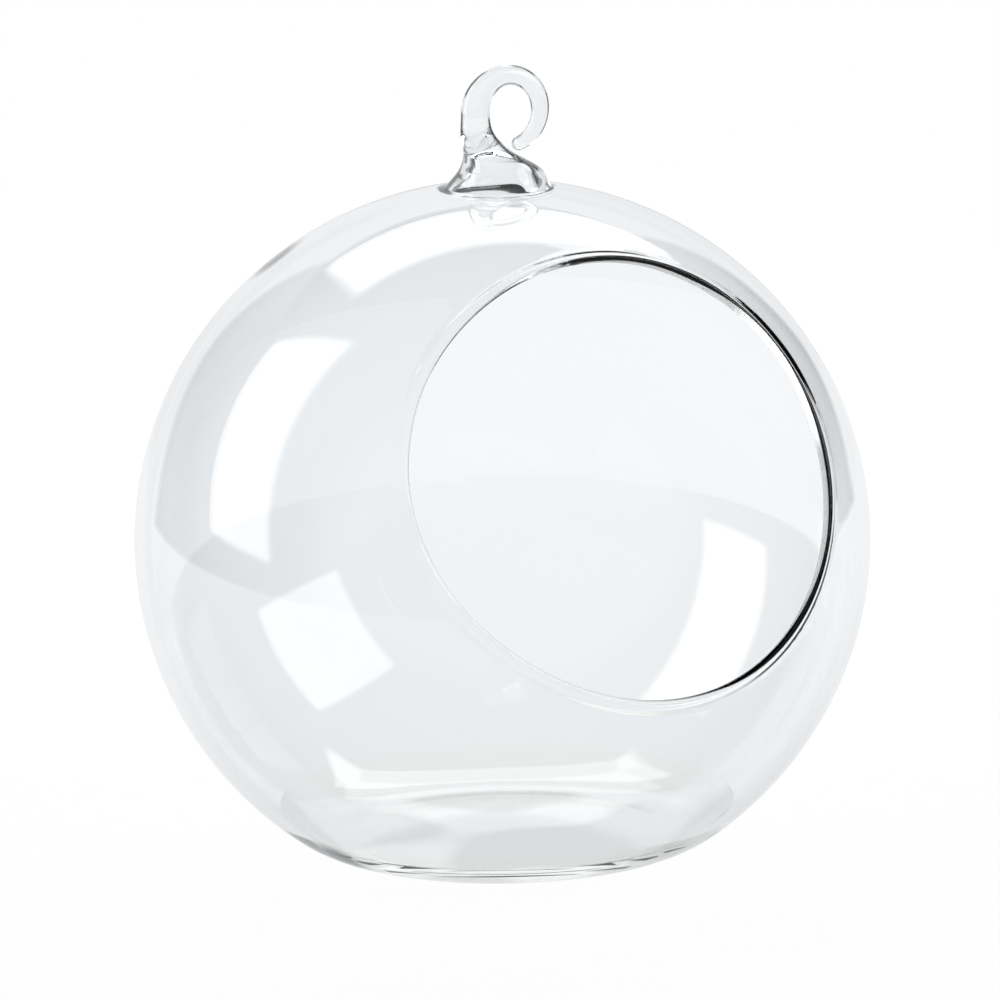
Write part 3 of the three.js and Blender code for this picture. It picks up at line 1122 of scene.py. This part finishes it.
def add_light_boxes(setup, target):
    """The soft boxes that light the globe and that its glass mirrors."""
    right = camera_axes(setup)[0]
    away = away_from_camera(setup)

    def world(values):
        return right * values[0] + away * values[1] + Vector((0, 0, values[2]))

    for name, (centre, across, upward) in LIGHT_BOXES.items():
        across, upward = world(across), world(upward)
        width, height = 2 * across.length, 2 * upward.length
        x_axis = across.normalized()
        z_axis = x_axis.cross(upward).normalized()
        place = world(centre)
        if z_axis.dot(place) < 0:
            x_axis, z_axis = -x_axis, -z_axis
        lamp = bpy.data.lights.new(name, "AREA")
        lamp.shape = "RECTANGLE"
        lamp.size, lamp.size_y = width, height
        lamp.energy = setup.box_light * width * height * math.pi
        soften_edges(lamp, setup.box_edge)
        box = bpy.data.objects.new(name, lamp)
        y_axis = z_axis.cross(x_axis)
        box.matrix_world = placed(target + place, x_axis, y_axis, z_axis)
        box.visible_camera = False
        bpy.context.scene.collection.objects.link(box)


def soften_edges(lamp, reach):
    """Lets a light box fade out towards its four edges, as its cloth does."""
    lamp.use_nodes = True
    tree = lamp.node_tree
    place = node(tree, "ShaderNodeSeparateXYZ",
                 Vector=tree.nodes.new("ShaderNodeNewGeometry").outputs["Parametric"])
    strength = 1.0
    for way in ("X", "Y"):
        from_middle = calculate(tree, "ABSOLUTE", calculate(tree, "SUBTRACT", place.outputs[way], 0.5))
        strength = calculate(tree, "MULTIPLY", strength, ramp(tree, from_middle, 0.5, 0.5 - reach))
    glow = next(made for made in tree.nodes if made.type == "EMISSION")
    tree.links.new(strength, glow.inputs["Strength"])


def studio_world(setup):
    """A dark room with a white backdrop behind the globe, as the glass mirrors it.

    Seen directly or through the glass all is white, and the table gets plain light from all round."""
    right = camera_axes(setup)[0]
    away = away_from_camera(setup)
    world = bpy.data.worlds.new("studio")
    world.use_nodes = True
    tree = world.node_tree
    tree.nodes.clear()
    path = tree.nodes.new("ShaderNodeLightPath").outputs
    direction = tree.nodes.new("ShaderNodeTexCoord").outputs["Generated"]

    def towards(axis):
        return from_vectors(tree, "DOT_PRODUCT", direction, axis)

    bearing = calculate(tree, "ARCTAN2", towards(right), towards(away))
    height = calculate(tree, "ARCSINE", towards(Vector((0, 0, 1))))

    def past(angle, end, waist):
        """How far a bearing to one side lies past that end of the backdrop, as an angle."""
        spread = calculate(tree, "MULTIPLY", ramp(tree, height, waist, BACKDROP_FOOT), BACKDROP_SPREAD)
        return calculate(tree, "SUBTRACT", angle, spread, end)

    to_left = calculate(tree, "MULTIPLY", bearing, -1.0)
    past_end = calculate(tree, "MAXIMUM", past(to_left, -BACKDROP_LEFT, LEFT_WAIST),
                         past(bearing, BACKDROP_RIGHT, RIGHT_WAIST))
    past_top = calculate(tree, "SUBTRACT", height, BACKDROP_TOP)
    cloth = calculate(tree, "MULTIPLY", ramp(tree, past_end, BACKDROP_EDGE, -BACKDROP_EDGE),
                      setup.back_mirrored)
    walls = calculate(tree, "MULTIPLY", ramp(tree, past_end, WALL_FAR, WALL_NEAR), WALL_LIGHT)
    backdrop = calculate(tree, "MULTIPLY", calculate(tree, "MAXIMUM", cloth, walls),
                         ramp(tree, past_top, BACKDROP_EDGE, -BACKDROP_EDGE))
    behind_camera = ramp(tree, towards(away), CAMERA_SIDE_STARTS, CAMERA_SIDE_FULL)
    behind_camera = calculate(tree, "MULTIPLY", behind_camera, setup.camera_side)
    long_way = calculate(tree, "GREATER_THAN", path["Ray Depth"], LONG_WAY)
    long_way = calculate(tree, "MULTIPLY", long_way, LONG_WAY_LIGHT)
    white = calculate(tree, "MAXIMUM", backdrop, behind_camera, long_way,
                      through_or_mirrored(tree, path, 1.0, 0.0))
    seen = mix_colours(tree, white, (*setup.room, 1.0), camera_or_glass(tree, path, setup))
    surroundings = node(tree, "ShaderNodeBackground", Color=seen, Strength=1.0)
    plain = node(tree, "ShaderNodeBackground", Color=WHITE, Strength=setup.ambient)
    both = node(tree, "ShaderNodeMixShader", _0=path["Is Diffuse Ray"], _1=surroundings.outputs[0],
                _2=plain.outputs[0])
    node(tree, "ShaderNodeOutputWorld", Surface=both.outputs[0])
    return world


def add_camera(scene, setup, target):
    right, up, back = camera_axes(setup)
    turned_right = right * math.cos(setup.roll) - up * math.sin(setup.roll)
    turned_up = right * math.sin(setup.roll) + up * math.cos(setup.roll)
    lens = bpy.data.cameras.new("camera")
    lens.lens = setup.lens
    lens.sensor_width = SENSOR_WIDTH
    lens.clip_end = CLIP_END
    camera = bpy.data.objects.new("camera", lens)
    place = target + back * setup.distance
    aim = target + turned_right * setup.aim_right + turned_up * setup.aim_up
    z_axis = (place - aim).normalized()
    x_axis = turned_up.cross(z_axis).normalized()
    y_axis = z_axis.cross(x_axis)
    camera.matrix_world = placed(place, x_axis, y_axis, z_axis)
    scene.collection.objects.link(camera)
    scene.camera = camera


PIECES = (TERRARIUM_OT_globe_wall, TERRARIUM_OT_globe_foot, TERRARIUM_OT_mouth_rim,
          TERRARIUM_OT_hanger_boss, TERRARIUM_OT_hanger_loop, TERRARIUM_OT_fuse_seams, TERRARIUM_OT_stage)


class TERRARIUM_PT_panel(bpy.types.Panel):
    """The terrarium's pieces, in the order in which they are made"""

    bl_label = "Glass Globe Terrarium"
    bl_idname = "TERRARIUM_PT_panel"
    bl_space_type = "VIEW_3D"
    bl_region_type = "UI"
    bl_category = "Terrarium"

    def draw(self, context):
        column = self.layout.column(align=True)
        for piece in PIECES:
            column.operator(piece.bl_idname)
        for group in SETTINGS:
            settings = getattr(context.scene, group)
            box = self.layout.box()
            for name in settings.__annotations__:
                box.prop(settings, name)


SETTINGS = {
    "terrarium_globe": GlobeSizes,
    "terrarium_hanger": HangerSizes,
    "terrarium_look": GlassLook,
    "terrarium_detail": MeshDetail,
    "terrarium_stage": StageSetup,
}
CLASSES = (*SETTINGS.values(), *PIECES, TERRARIUM_PT_panel)


def register():
    for made in CLASSES:
        bpy.utils.register_class(made)
    for name, group in SETTINGS.items():
        setattr(bpy.types.Scene, name, PointerProperty(type=group))


def unregister():
    for name in SETTINGS:
        delattr(bpy.types.Scene, name)
    for made in reversed(CLASSES):
        bpy.utils.unregister_class(made)


def main():
    register()
    bpy.ops.terrarium.globe_wall()
    bpy.ops.terrarium.globe_foot()
    bpy.ops.terrarium.mouth_rim()
    bpy.ops.terrarium.hanger_boss()
    bpy.ops.terrarium.hanger_loop()
    bpy.ops.terrarium.fuse_seams()
    bpy.ops.terrarium.stage()


if __name__ == "__main__":
    main()
